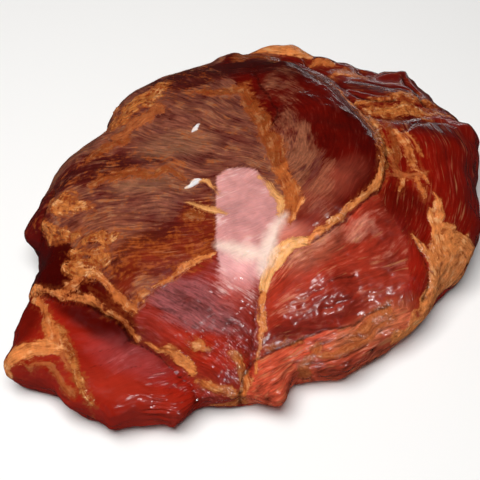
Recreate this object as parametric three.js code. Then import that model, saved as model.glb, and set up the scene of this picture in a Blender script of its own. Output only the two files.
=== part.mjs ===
// A boneless smoked ham, lying with its broad side up: several leg muscles held together by
// seams of fat. It is one solid piece of meat, 311 mm across, 305 mm deep and 86 mm thick.
// Millimetres, +Z up. The origin is on the surface that the ham lies on, under its middle.
import * as THREE from "three";
import { ImprovedNoise } from "three/addons/math/ImprovedNoise.js";
import { mergeVertices } from "three/addons/utils/BufferGeometryUtils.js";

// Overall heights, and the middle that the outline goes round
const BODY_HEIGHT = 62; // the top of the meat away from the rim, before its muscles swell it
const CROWN_RISE = 9; // how much higher the middle is than the shoulders
const RIM_HEIGHT = 23; // where the side bulges furthest out, above the table
const MIDDLE = new THREE.Vector2(-4, -14);

const SHOULDER_WIDTH = 48; // how far in from the outline the side has risen to full height
const SHOULDER_POWER = 2.3; // 2 is round, and a higher one is squarer
const BELLY_WIDTH = 26; // how far in from the outline the underside meets the table
const BELLY_PRESS = 1.15; // above 1, the weight presses the belly flat on the table

// The outline seen from above, anticlockwise from the right-hand end
const OUTLINE = [
  [150, -16], [154, 22], [156, 59], [146, 89], [119, 112], [92, 131], [63, 141],
  [39, 149], [4, 145], [-32, 133], [-74, 113], [-98, 95], [-106, 66], [-137, 35],
  [-144, 7], [-154, -18], [-142, -44], [-152, -76], [-156, -105], [-153, -120],
  [-125, -131], [-104, -146], [-78, -154], [-53, -150], [-32, -137], [-6, -136],
  [12, -131], [26, -123], [64, -112], [98, -86], [118, -66], [138, -45],
].map(([x, y]) => new THREE.Vector2(x, y));

// The muscles that swell the top: centre, half lengths, turn in degrees, and rise
const MUSCLES = {
  topRound: { at: [40, 40], half: [52, 62], turn: 20, rise: 12 },
  broadLeft: { at: [-62, 22], half: [92, 70], turn: 25, rise: 7 },
  rightCap: { at: [118, 34], half: [42, 55], turn: 0, rise: 6 },
  backSlope: { at: [76, 124], half: [90, 40], turn: -20, rise: -13 },
  middleRight: { at: [62, -30], half: [72, 44], turn: 25, rise: 8 },
  lowerRoll: { at: [74, -106], half: [95, 42], turn: 28, rise: -20 },
  frontMiddle: { at: [-24, -124], half: [50, 40], turn: 0, rise: -14 },
  shankEnd: { at: [-112, -111], half: [75, 60], turn: -20, rise: -20 },
};

// The seams between the muscles, seen from above. Each is a groove that draws the meat down by
// depth and lets it swell again over width. Where one muscle stands above its neighbour, step
// is how much higher the left side is, looking along the path.
const SEAMS = {
  central: {
    path: [[-4, -134], [0, -110], [4, -90], [9, -71], [19, -59], [31, -51]],
    depth: 8, width: 13, step: 0,
  },
  arc: {
    path: [[31, -51], [56, -33], [76, -14], [84, 8], [81, 32], [68, 58], [52, 86], [34, 110], [8, 122]],
    depth: 4, width: 12, step: 9,
  },
  orangeBand: {
    path: [[10, -52], [21, -31], [20, -6], [10, 20], [0, 49], [-12, 86]],
    depth: 4, width: 13, step: 0,
  },
  shank: {
    path: [[-154, -68], [-125, -74], [-100, -83], [-78, -98], [-56, -113], [-36, -123], [-26, -140]],
    depth: 4, width: 12, step: 12,
  },
  branch: {
    path: [[-74, -92], [-62, -77], [-44, -66], [-22, -59]],
    depth: 3, width: 10, step: 3,
  },
  leftFat: {
    path: [[-76, -92], [-88, -72], [-108, -54], [-136, -30]],
    depth: 3, width: 11, step: 0,
  },
  lowerCrease: {
    path: [[-3, -117], [10, -110], [32, -103], [58, -92], [84, -76]],
    depth: 8, width: 10, step: 3,
  },
  notch: {
    path: [[-1, -112], [-7, -124], [-10, -140]],
    depth: 8, width: 8, step: 0,
  },
  rightFat: {
    path: [[86, -46], [108, -42], [120, -54], [116, -72]],
    depth: 3, width: 11, step: 0,
  },
  backSeam: {
    path: [[68, 66], [92, 64], [116, 68], [148, 80]],
    depth: 7, width: 12, step: 0,
  },
  capSeam: {
    path: [[82, 44], [91, 22], [99, -2], [112, -24], [108, -40]],
    depth: 4, width: 12, step: 0,
  },
};
const GROOVE_ROUNDING = 3; // half the width of a groove's rounded floor
const STEP_RUN = 7; // how far a step takes to rise
const STEP_FADE = 42; // how far it takes to level out again
const END_FADE = 22; // how far a groove takes to reach its depth from its end

// Lumps of fat and flaps of meat that stand out: centre, radius and rise
const LUMPS = [
  { at: [26, 142], radius: 14, rise: 5 },
  { at: [8, 140], radius: 9, rise: 4 },
  { at: [52, 134], radius: 8, rise: 4 },
  { at: [14, -128], radius: 13, rise: 6 },
  { at: [108, 102], radius: 16, rise: 5 },
];

// Uneven swelling of the whole surface, coarse and fine: wavelength and height
const UNEVEN = [
  { wavelength: 38, height: 2.2 },
  { wavelength: 17, height: 1.3 },
];

const SETTLE_HEIGHT = 16; // below this the weight presses the relief flat on the table

// How finely the surface is cut up
const SPHERE_DETAIL = 21; // each of 20 faces is cut into (detail + 1) squared triangles
const MEAN_RADIUS = 145; // of the outline, to share the triangles out along a section
const SECTION_STEPS = 200; // from the top, over the rim, to the middle of the belly
const UNDERCUT_DETAIL = 0.7; // triangles under the rim, as a share of those on the top
const BELLY_DETAIL = 0.3; // and on the flat belly
const OUTLINE_STEPS = 360;
const SEAM_STEPS = 40;
const WELD = 1e-6; // the sphere's corners that are closer than this are one

const perlin = new ImprovedNoise();

// Radius of the outline round MIDDLE in any direction
function outlineRadius(rim) {
  const rays = rim.slice(1).map((p) => {
    const arm = p.clone().sub(MIDDLE);
    return { angle: arm.angle(), radius: arm.length() };
  });
  rays.sort((a, b) => a.angle - b.angle);
  return (angle) => {
    const turn = (angle + 2 * Math.PI) % (2 * Math.PI);
    const high = Math.max(0, rays.findIndex((ray) => ray.angle > turn));
    const after = rays[high];
    const before = rays[(high + rays.length - 1) % rays.length];
    const gap = (after.angle - before.angle + 2 * Math.PI) % (2 * Math.PI) || 1;
    const share = ((turn - before.angle + 2 * Math.PI) % (2 * Math.PI)) / gap;
    return THREE.MathUtils.lerp(before.radius, after.radius, share);
  };
}

// The point of a chain nearest to (x, y): its distance, how far along the chain it is, how far
// is left to the chain's end, and whether (x, y) is on the chain's left, 1, or right, -1
function nearestOn(chain, x, y) {
  let best = { distance: Infinity };
  let before = 0;
  for (let i = 1; i < chain.length; i++) {
    const p = chain[i - 1];
    const q = chain[i];
    const dx = q.x - p.x;
    const dy = q.y - p.y;
    const run = Math.hypot(dx, dy);
    const t = THREE.MathUtils.clamp(((x - p.x) * dx + (y - p.y) * dy) / (run * run), 0, 1);
    const distance = Math.hypot(x - p.x - t * dx, y - p.y - t * dy);
    if (distance < best.distance) {
      const side = Math.sign(dx * (y - p.y) - dy * (x - p.x));
      best = { distance, side, along: before + t * run };
    }
    before += run;
  }
  return { ...best, left: before - best.along };
}

// Part of a round shoulder that is reached at some distance in from the outline, 0 to 1
function shoulder(inward, width) {
  const left = 1 - Math.min(1, inward / width);
  return (1 - left ** SHOULDER_POWER) ** (1 / SHOULDER_POWER);
}

// Height of the surface: side is 1 on the top and -1 underneath, inward the distance in from
// the outline, and crown the height that the top has away from the rim
function surfaceHeight(side, inward, crown) {
  if (side > 0) return RIM_HEIGHT + (crown - RIM_HEIGHT) * shoulder(inward, SHOULDER_WIDTH);
  return Math.max(0, RIM_HEIGHT * (1 - BELLY_PRESS * shoulder(inward, BELLY_WIDTH)));
}

// Shares the sphere's vertices out along the way from the middle of the top, over the rim, to
// the middle of the belly, so that triangles come out alike and the underside gets fewer
function sectionSpread() {
  const section = [];
  const shares = [0];
  for (let i = 0; i <= SECTION_STEPS; i++) {
    const turn = (i / SECTION_STEPS) * Math.PI;
    const reach = Math.sin(turn);
    const side = turn < Math.PI / 2 ? 1 : -1;
    section.push({ reach, side, z: surfaceHeight(side, (1 - reach) * MEAN_RADIUS, BODY_HEIGHT) });
  }
  for (let i = 1; i <= SECTION_STEPS; i++) {
    const p = section[i - 1];
    const q = section[i];
    const run = Math.hypot((q.reach - p.reach) * MEAN_RADIUS, q.z - p.z);
    const underneath = p.z > 0 ? UNDERCUT_DETAIL : BELLY_DETAIL;
    const detail = p.side > 0 ? 1 : underneath;
    shares.push(shares[i - 1] + run * (p.reach + q.reach) * detail);
  }
  return (share) => {
    const wanted = share * shares[SECTION_STEPS];
    const i = Math.max(1, shares.findIndex((s) => s >= wanted));
    const part = (wanted - shares[i - 1]) / (shares[i] - shares[i - 1]);
    const reach = THREE.MathUtils.lerp(section[i - 1].reach, section[i].reach, part);
    return { reach, side: section[i].side };
  };
}

// Height of the top surface away from the rim
function crownHeight(x, y, reach) {
  let z = BODY_HEIGHT + CROWN_RISE * (1 - reach * reach);
  for (const { at, half, turn, rise } of Object.values(MUSCLES)) {
    const place = new THREE.Vector2(x - at[0], y - at[1]);
    place.rotateAround(new THREE.Vector2(), -THREE.MathUtils.degToRad(turn));
    const q = (place.x / half[0]) ** 2 + (place.y / half[1]) ** 2;
    z += rise * Math.exp(-q);
  }
  return z;
}

// How far the seams draw the surface in at (x, y), less what their steps raise it. Where seams
// meet, their grooves don't add up: the deepest counts most.
function seamRelief(seams, x, y) {
  let stepped = 0;
  const grooves = [];
  for (const { chain, depth, width, step } of seams) {
    const near = nearestOn(chain, x, y);
    const wide = Math.hypot(near.distance, GROOVE_ROUNDING) - GROOVE_ROUNDING;
    const toEnd = Math.min(near.along, near.left);
    const groove = depth * THREE.MathUtils.smoothstep(toEnd, -END_FADE, END_FADE);
    grooves.push(groove * Math.exp(-wide / width));
    const rise = step * THREE.MathUtils.smoothstep(toEnd, 0, END_FADE);
    const level = Math.tanh((near.side * near.distance) / STEP_RUN);
    const fade = Math.exp(-((near.distance / STEP_FADE) ** 2));
    stepped += (rise / 2) * level * fade;
  }
  return stepped - Math.hypot(...grooves);
}

// Lumps and the uneven swelling of the surface
function lumpRelief(x, y, z) {
  let height = 0;
  for (const { at, radius, rise } of LUMPS) {
    height += rise * Math.exp(-(((x - at[0]) ** 2 + (y - at[1]) ** 2) / radius ** 2));
  }
  for (const { wavelength, height: swell } of UNEVEN) {
    height += swell * perlin.noise(x / wavelength, y / wavelength, z / wavelength);
  }
  return height;
}

// The smooth body of the ham, with no seams yet
function bodyGeometry() {
  const sphere = new THREE.IcosahedronGeometry(1, SPHERE_DETAIL);
  sphere.deleteAttribute("normal");
  sphere.deleteAttribute("uv");
  const geometry = mergeVertices(sphere, WELD);
  const rim = new THREE.SplineCurve([...OUTLINE, OUTLINE[0]]).getSpacedPoints(OUTLINE_STEPS);
  const radiusAt = outlineRadius(rim);
  const spread = sectionSpread();
  const position = geometry.getAttribute("position");
  const direction = new THREE.Vector3();
  for (let i = 0; i < position.count; i++) {
    direction.fromBufferAttribute(position, i).normalize();
    const { reach, side } = spread((1 - direction.z) / 2);
    const angle = Math.atan2(direction.y, direction.x);
    const radius = reach * radiusAt(angle);
    const x = MIDDLE.x + radius * Math.cos(angle);
    const y = MIDDLE.y + radius * Math.sin(angle);
    const inward = nearestOn(rim, x, y).distance;
    position.setXYZ(i, x, y, surfaceHeight(side, inward, crownHeight(x, y, reach)));
  }
  geometry.computeVertexNormals();
  return geometry;
}

// The body with its seams and lumps pushed in and out along the surface's own normals
function hamGeometry() {
  const geometry = bodyGeometry();
  const position = geometry.getAttribute("position");
  const normal = geometry.getAttribute("normal");
  const seams = Object.values(SEAMS).map((seam) => {
    const bends = seam.path.map(([x, y]) => new THREE.Vector2(x, y));
    return { ...seam, chain: new THREE.SplineCurve(bends).getSpacedPoints(SEAM_STEPS) };
  });
  const place = new THREE.Vector3();
  const outwards = new THREE.Vector3();
  for (let i = 0; i < position.count; i++) {
    place.fromBufferAttribute(position, i);
    outwards.fromBufferAttribute(normal, i);
    const offTable = THREE.MathUtils.smoothstep(place.z, 0, SETTLE_HEIGHT);
    const { x, y, z } = place;
    const push = offTable * (seamRelief(seams, x, y) + lumpRelief(x, y, z));
    place.addScaledVector(outwards, push);
    position.setXYZ(i, place.x, place.y, Math.max(0, place.z));
  }
  geometry.computeBoundingBox();
  const middle = geometry.boundingBox.getCenter(new THREE.Vector3());
  geometry.translate(-middle.x, -middle.y, 0);
  geometry.computeVertexNormals();
  return geometry;
}

const meat = new THREE.MeshStandardMaterial({ color: 0x7a2a1a, roughness: 0.4, metalness: 0 });
const ham = new THREE.Mesh(hamGeometry(), meat);
ham.name = "smoked_ham";

const group = new THREE.Group();
group.add(ham);
export default group;
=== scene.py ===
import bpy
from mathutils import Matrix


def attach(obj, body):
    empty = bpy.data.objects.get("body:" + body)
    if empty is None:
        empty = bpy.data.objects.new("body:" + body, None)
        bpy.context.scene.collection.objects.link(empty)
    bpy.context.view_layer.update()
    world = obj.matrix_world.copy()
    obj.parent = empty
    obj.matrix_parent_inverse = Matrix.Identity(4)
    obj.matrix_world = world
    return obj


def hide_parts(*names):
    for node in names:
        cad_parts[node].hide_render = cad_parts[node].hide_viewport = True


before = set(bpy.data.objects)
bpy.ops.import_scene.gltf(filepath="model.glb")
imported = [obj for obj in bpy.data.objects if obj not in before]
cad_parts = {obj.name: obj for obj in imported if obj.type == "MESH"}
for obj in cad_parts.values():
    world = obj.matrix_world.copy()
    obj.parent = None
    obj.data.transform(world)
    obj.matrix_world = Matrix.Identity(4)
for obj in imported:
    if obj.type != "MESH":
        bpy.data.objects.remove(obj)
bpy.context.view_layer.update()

# %% Libraries and units
import math

import bmesh
import bpy
import numpy as np
from mathutils import Vector, noise

MM = 0.001
print("one millimetre in Blender units:", MM)

# %% [markdown]
# ## A finer surface
#
# The solid has about ten thousand flat triangles, each some 5 mm wide, and meat needs relief a
# few millimetres wide. A voxel remesh would cut the flat belly as finely as the top. Here every
# edge is cut in half instead, twice, and the new corners are lifted to a smooth curve, so the
# triangles are small only where the solid's are. A little smoothing takes away the last facets.
# %% Copy the solid and cut it finer
WELD = 0.001 * MM
CUTTING_ROUNDS = 2
ROUNDING = 1.0
SMOOTHING_ROUNDS = 3


def placed(name, data):
    """Makes an object of the data and puts it in the scene."""
    made = bpy.data.objects.new(name, data)
    bpy.context.scene.collection.objects.link(made)
    return made


def finer_copy(node, name):
    bm = bmesh.new()
    bm.from_mesh(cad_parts[node].data)
    bmesh.ops.remove_doubles(bm, verts=bm.verts, dist=WELD)
    for _ in range(CUTTING_ROUNDS):
        bmesh.ops.subdivide_edges(bm, edges=bm.edges, cuts=1, smooth=ROUNDING, use_grid_fill=True)
    for _ in range(SMOOTHING_ROUNDS):
        bmesh.ops.smooth_vert(
            bm, verts=bm.verts, factor=0.5, use_axis_x=True, use_axis_y=True, use_axis_z=True
        )
    mesh = bpy.data.meshes.new(name)
    bm.to_mesh(mesh)
    bm.free()
    return placed(name, mesh)


ham = finer_copy("smoked_ham", "smoked_ham_dressed")
mesh = ham.data
count = len(mesh.vertices)
print("corners:", count, "triangles:", len(mesh.polygons))


# %% Read the surface as arrays
def read_vectors(collection, name):
    flat = np.empty(count * 3, np.float32)
    collection.foreach_get(name, flat)
    return flat.reshape(-1, 3).astype(float)


points = read_vectors(mesh.vertices, "co") / MM
normals = read_vectors(mesh.vertex_normals, "vector")
plan = points[:, :2]
height = points[:, 2]
print("lowest and highest, mm:", height.min().round(2), height.max().round(2))

# %% [markdown]
# ## Drawing on meat
#
# Nothing on a ham is a straight line, so every mark is drawn as a brush stroke: a few bends, each
# with its place and half its width there, joined by a smooth curve. What a stroke gives back is how
# deep each point lies inside it. That number runs smoothly between the corners of the mesh, so the
# material can cut a crisp, ragged edge from it later. Noise pushes the points about first, which
# makes the strokes as uneven as real marks.


# %% Steps, noise and turned axes
def step(low, high, x):
    """Rises smoothly from 0 at low to 1 at high. A low above the high falls instead."""
    share = np.clip((x - low) / (high - low), 0, 1)
    return share * share * (3 - 2 * share)


def noise_at(places, size, layers=1):
    """Smooth noise about nought, in waves of the given size in mm."""
    return np.array([noise.fractal(place, 1, 2, layers) for place in places / size])


def turned(places, middle, degrees):
    """How far each place lies from the middle, along the direction and to the left of it."""
    turn = math.radians(degrees)
    away = places - middle
    ahead = away @ (math.cos(turn), math.sin(turn))
    aside = away @ (-math.sin(turn), math.cos(turn))
    return ahead, aside


print("a step, a quarter of the way up:", step(0, 1, 0.25))


# %% Curves, and how near them or how deep in them a place lies
def smooth_path(bends, cuts=6):
    """Joins the bends by a Catmull-Rom curve, which passes through each of them."""
    p = np.array([bends[0], *bends, bends[-1]], float)
    t = np.linspace(0, 1, cuts, endpoint=False)[:, None]
    runs = []
    for a, b, c, d in zip(p, p[1:], p[2:], p[3:]):
        curve = 2 * b + (c - a) * t + (2 * a - 5 * b + 4 * c - d) * t**2
        runs.append(0.5 * (curve + (3 * b - a - 3 * c + d) * t**3))
    return np.vstack([*runs, p[-1:]])


def nearest_on(path, places):
    """How far each place is from the path, left of it positive, the half width and the way along."""
    distance = np.full(len(places), np.inf)
    side = np.ones(len(places))
    half = np.zeros(len(places))
    along = np.zeros(len(places))
    passed = 0
    for a, b in zip(path, path[1:]):
        run = b[:2] - a[:2]
        if not run.any():
            continue
        from_a = places - a[:2]
        share = np.clip(from_a @ run / (run @ run), 0, 1)
        gap = np.hypot(*(from_a - share[:, None] * run).T)
        closer = gap < distance
        distance[closer] = gap[closer]
        side[closer] = np.where(run[0] * from_a[:, 1] > run[1] * from_a[:, 0], 1, -1)[closer]
        along[closer] = passed + (share * math.hypot(*run))[closer]
        passed += math.hypot(*run)
        if path.shape[1] > 2:
            half[closer] = (a[2] + share * (b[2] - a[2]))[closer]
    return distance * side, half, along


def stroke_depth(places, bends):
    """How far inside a stroke each place is. It is negative outside."""
    distance, half, _ = nearest_on(smooth_path(bends), places)
    return half - np.abs(distance)


def ring_depth(places, ring):
    """The same for a closed ring."""
    closed = np.array([*ring, ring[0]], float)
    distance, _, _ = nearest_on(closed, places)
    inside = np.zeros(len(places), bool)
    x, y = places.T
    for (ax, ay), (bx, by) in zip(closed, closed[1:]):
        if ay != by:
            crosses = (ay > y) != (by > y)
            inside ^= crosses & (x < ax + (y - ay) / (by - ay) * (bx - ax))
    return np.where(inside, 1, -1) * np.abs(distance)


print("points on a path of three bends:", len(smooth_path([(0, 0), (5, 2), (9, 0)])))

# %% Push the places about, by waves of a size and a reach in mm
WARPS = ((16, 2.6), (6, 1.0))
apart = np.array([0, 0, 300.0])
warp = np.zeros((count, 2))
for axis in (0, 1):
    for size, reach in WARPS:
        warp[:, axis] += reach * noise_at(points + (axis + 1) * apart, size)
drawn = plan + warp
print("widest push, mm:", np.abs(warp).max().round(1))

# %% [markdown]
# ## Seams and muscles
#
# A leg of pork is a bundle of muscles, and each is wrapped in thin connective tissue with fat
# between. The seams are drawn first, and every muscle is then the area between its seams. Each
# muscle has its own colour, its own share of brown film and its own direction of grain.
# %% The seams
SEAMS = {
    "central": [(-1, -122), (1, -108), (5, -84), (9, -70), (14, -60), (22, -54), (31, -49)],
    "arc": [
        (31, -49), (42, -41), (56, -31), (68, -20), (77, -10), (82, 6), (82, 21), (78, 39),
        (71, 61), (62, 77), (54, 98), (44, 112), (26, 122), (8, 124),
    ],
    "band": [
        (10, -52), (18, -40), (23, -24), (20, -10), (14, 7), (8, 26), (3, 48), (-3, 67), (-20, 98),
        (-26, 112), (-20, 124), (-30, 136), (-24, 150),
    ],
    "shank": [
        (-158, -62), (-143, -64), (-126, -72), (-110, -77), (-94, -84), (-83, -93),
        (-73, -101), (-61, -109), (-49, -119), (-38, -127), (-30, -142),
    ],
    "left": [(-75, -92), (-83, -83), (-97, -68), (-108, -60), (-122, -40), (-140, -26), (-158, -20)],
    "branch": [(-75, -92), (-62, -76), (-50, -69), (-37, -64), (-23, -58), (8, -55)],
    "crease": [
        (-3, -114), (6, -109), (16, -105), (25, -101), (35, -98), (46, -94), (62, -88), (84, -76),
    ],
    "notch": [(-3, -114), (-8, -122), (-10, -140)],
    "back": [(62, 77), (70, 69), (83, 66), (95, 68), (110, 72), (130, 76), (152, 84)],
}
print("seams drawn:", len(SEAMS))

# %% The muscles between the seams
FAR = 180
CAP_FOOT = [(77, -10), (82, -22), (94, -41)]
LOBE_HEAD = [(94, -41), (114, -46), (FAR, -40)]
LOBE_SIDE = [(94, -41), (98, -60), (90, -76)]
RINGS = {
    "broad left": [
        *SEAMS["band"], (-24, FAR), (-FAR, FAR), (-FAR, -14), *SEAMS["left"][::-1], *SEAMS["branch"],
    ],
    "left edge": [*SEAMS["left"], (-FAR, -20), (-FAR, -60), *SEAMS["shank"][:7]],
    "shank lobe": [*SEAMS["shank"], (-30, -FAR), (-FAR, -FAR), (-FAR, -62)],
    "front": [
        *SEAMS["branch"], *SEAMS["central"][::-1], (-12, -FAR), (-30, -FAR), *SEAMS["shank"][:5:-1],
    ],
    "top round": [*SEAMS["arc"], (8, FAR), (-24, FAR), *SEAMS["band"][::-1]],
    "back strip": [*SEAMS["back"], (FAR, 90), (FAR, FAR), (8, FAR), *SEAMS["arc"][:8:-1]],
    "right cap": [
        *SEAMS["back"], (FAR, 84), *LOBE_HEAD[::-1], *CAP_FOOT[::-1], *SEAMS["arc"][5:10],
    ],
    "middle right": [
        *SEAMS["arc"][:5], *CAP_FOOT[1:], *LOBE_SIDE, *SEAMS["crease"][::-1], *SEAMS["central"][1:],
    ],
    "right lobe": [*LOBE_HEAD, (FAR, -100), *LOBE_SIDE[::-1]],
    "lower roll": [
        *SEAMS["crease"], (90, -76), (FAR, -100), (FAR, -FAR), (-10, -FAR), *SEAMS["notch"][::-1],
    ],
}
SOFTNESS = 1.2
depths = np.array([ring_depth(drawn, ring) for ring in RINGS.values()])
shares = np.exp((depths - depths.max(axis=0)) / SOFTNESS)
shares /= shares.sum(axis=0)
owner = depths.argmax(axis=0)
print("corners in each:", dict(zip(RINGS, np.bincount(owner).tolist())))

# %% [markdown]
# ## The looks of each muscle
#
# Curing turns pork red and smoke browns it, but not evenly. Thin silverskin takes a brown or milky
# film, bare lean meat stays dark red, and a wet face shines. So each muscle gets its own numbers:
# the colours of its meat and of its film, the share of film, of rusty mottling and of thin threads
# of fat, how wet it is, and how strongly its bundles of fibres stand out. Colours are sRGB hex.
# %% Muscles, from the upper left round to the front
LOOKS = {
    "broad left": ("#561812", "#7e4836", 0.68, 0.22, 0.12, 0.25, 0.20),
    "left edge": ("#480402", "#7a4030", 0, 0, 0, 0.30, 0.05),
    "shank lobe": ("#921c0e", "#a45a58", 0, 0, 0, 0.35, 0.05),
    "front": ("#90281c", "#8c4c4c", 0.30, 0, 0.05, 0.60, 0.20),
    "top round": ("#560803", "#875038", 0, 0, 0, 0.30, 0.16),
    "back strip": ("#641009", "#875038", 0, 0.15, 0.10, 0.10, 0.10),
    "right cap": ("#780f05", "#875038", 0, 0.05, 0.30, 0.35, 0.18),
    "middle right": ("#a0301e", "#b87a64", 0.16, 0, 0.20, 0.08, 0.26),
    "right lobe": ("#901a0c", "#9c5a3c", 0, 0, 0.15, 0.50, 0.15),
    "lower roll": ("#bd4b32", "#c88a60", 0.05, 0, 0.50, 0.90, 0.46),
}


def linear(colour):
    channels = np.array([int(colour[i : i + 2], 16) for i in (1, 3, 5)]) / 255
    return np.where(channels <= 0.04045, channels / 12.92, ((channels + 0.055) / 1.055) ** 2.4)


def shade(colour):
    return (*linear(colour), 1)


meat = shares.T @ np.array([linear(look[0]) for look in LOOKS.values()])
film_tone = shares.T @ np.array([linear(look[1]) for look in LOOKS.values()])
blended = shares.T @ np.array([look[2:] for look in LOOKS.values()])
film, mottle, threads, wet, ridges = blended.T.copy()
print("mean film, threads, wet:", film.mean().round(2), threads.mean().round(2), wet.mean().round(2))

# %% [markdown]
# ## Grain
#
# Fibres run in straight bundles, spread like a fan from a sinew, or bend round in arcs. Each rule
# below turns a place on the ham into two lengths, along the fibres and across them, and the height
# is kept as a third. Noise stretched along the first of them then looks like strands of meat.


# %% Rules for grain
def lines(degrees):
    return turned(plan, (0, 0), degrees)


def fan(x, y, facing, reach=80):
    ahead, aside = turned(plan, (x, y), facing)
    return np.hypot(ahead, aside), np.arctan2(aside, ahead) * reach


def arcs(x, y, facing):
    return fan(x, y, facing)[::-1]


def bowed(along, across, start, bend):
    """Bends the grain to the left of a start, and more the further left."""
    return along, across + bend * np.minimum(plan[:, 0] - start, 0) ** 2


GRAIN = {
    "broad left": bowed(*fan(110, -30, 180, 150), -70, -0.0022),
    "left edge": lines(-30),
    "shank lobe": lines(24),
    "front": lines(-28),
    "top round": arcs(-8, 30, 0),
    "back strip": lines(-16),
    "right cap": arcs(0, 10, 20),
    "middle right": fan(-45, -118, 35),
    "right lobe": lines(78),
    "lower roll": lines(28),
}
print("muscles with a grain:", len(GRAIN))

# %% The pink patch has a grain of its own
PINK_RING = [
    (-25, -3), (-18, 3), (-8, 4), (0, 1), (6, -7), (12, -18), (15, -28), (14, -42), (8, -56), (4, -70),
    (-2, -82), (-12, -90), (-20, -86), (-23, -72), (-24, -50), (-25, -24),
]
PINK_GRAIN = 24
PINK_BAR = -60
in_pink = (ring_depth(plan, PINK_RING) > -1) & (plan[:, 1] > PINK_BAR)
rules = [*GRAIN.values(), lines(PINK_GRAIN)]
ruled_by = np.where(in_pink, len(GRAIN), owner)
print("corners in the pink patch:", int(in_pink.sum()))

# %% [markdown]
# ## Fat
#
# Fat fills the seams and lies over some edges in patches. It takes smoke in every shade from cream
# to rust, and it ends in a clean edge beside a seam or thins out into the meat. So each kind of fat
# has a colour, a share of lumps with cracks between, how fully it covers the meat, and the width
# of its edge. Where two strokes meet, the deeper one shows.
# %% Kinds of fat: colour, lumps, cover and width of the edge in mm
FATS = {
    "cream": ("#e9a566", 0, 1, 0.8),
    "pale": ("#d68044", 0.30, 0.95, 1.0),
    "tan": ("#bc6833", 0.45, 0.92, 1.1),
    "lumpy": ("#b36832", 1, 0.95, 1.1),
    "rusty": ("#86401a", 0.60, 0.85, 1.6),
    "amber": ("#ae5a28", 0.45, 0.86, 1.3),
    "thin": ("#a85a2e", 0.35, 0.82, 1.7),
    "gold": ("#d8985a", 0.10, 0.90, 2.2),
    "white": ("#dedad8", 0, 1, 0.6),
}
print("kinds of fat:", ", ".join(FATS))

# %% Strokes of fat along the seams, each bend as x, y and half the width
ALONG_SEAMS = [
    ("cream", [(5, -79, 3.4), (8, -67, 4.2), (13, -59, 5), (21, -53, 4.2), (31, -49, 3)]),
    ("pale", [(-1, -120, 0.8), (2, -106, 1.2), (4, -92, 2.2), (5, -79, 3.4)]),
    ("pale", [(31, -49, 3), (42, -41, 2.4), (56, -31, 2.2), (68, -20, 2.2), (76, -11, 2.8), (82, 6, 2.4)]),
    ("tan", [(82, 6, 2.2), (82, 21, 2), (78, 39, 2), (71, 61, 1.6), (62, 77, 1.4), (54, 96, 0.8)]),
    ("amber", [(22, -39, 1.4), (23, -31, 4.2), (22, -22, 5.8), (20, -12, 6), (16, 4, 6.5)]),
    ("rusty", [(16, 4, 6), (10, 22, 5), (3, 45, 4.6), (-3, 63, 4.6), (-8, 78, 4)]),
    ("rusty", [(-8, 78, 3.5), (-18, 72, 3.5), (-28, 73, 3), (-38, 77, 2)]),
    ("pale", [(-148, -64, 1.3), (-138, -67, 1.7), (-121, -73, 1.6), (-104, -79, 1.5), (-90, -88, 1.2)]),
    ("tan", [(-90, -88, 1.1), (-79, -95, 1.2), (-71, -103, 1.6)]),
    ("pale", [(-66, -105, 0.7), (-59, -110, 1.3), (-50, -114, 2.4), (-43, -118, 3), (-38, -122, 1.2)]),
    ("tan", [(-76, -88, 1.6), (-71, -82, 1.8), (-63, -78, 1.2), (-54, -73, 1.6), (-44, -65, 2)]),
    ("pale", [(-44, -65, 1.8), (-35, -62, 1.8), (-25, -59, 1.2)]),
    ("lumpy", [(72, 71, 1.6), (83, 75, 2.8), (94, 78, 4), (105, 81, 5), (115, 81, 4), (124, 80, 1.6)]),
    ("lumpy", [(76, 62, 2.6), (87, 65, 4), (98, 66, 5), (109, 68, 5.4), (122, 68, 4), (138, 71, 2)]),
    ("tan", [(54, 106, 1), (60, 111, 2.2), (68, 113, 2.4), (77, 111, 1)]),
]
print("strokes along the seams:", len(ALONG_SEAMS))

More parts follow.
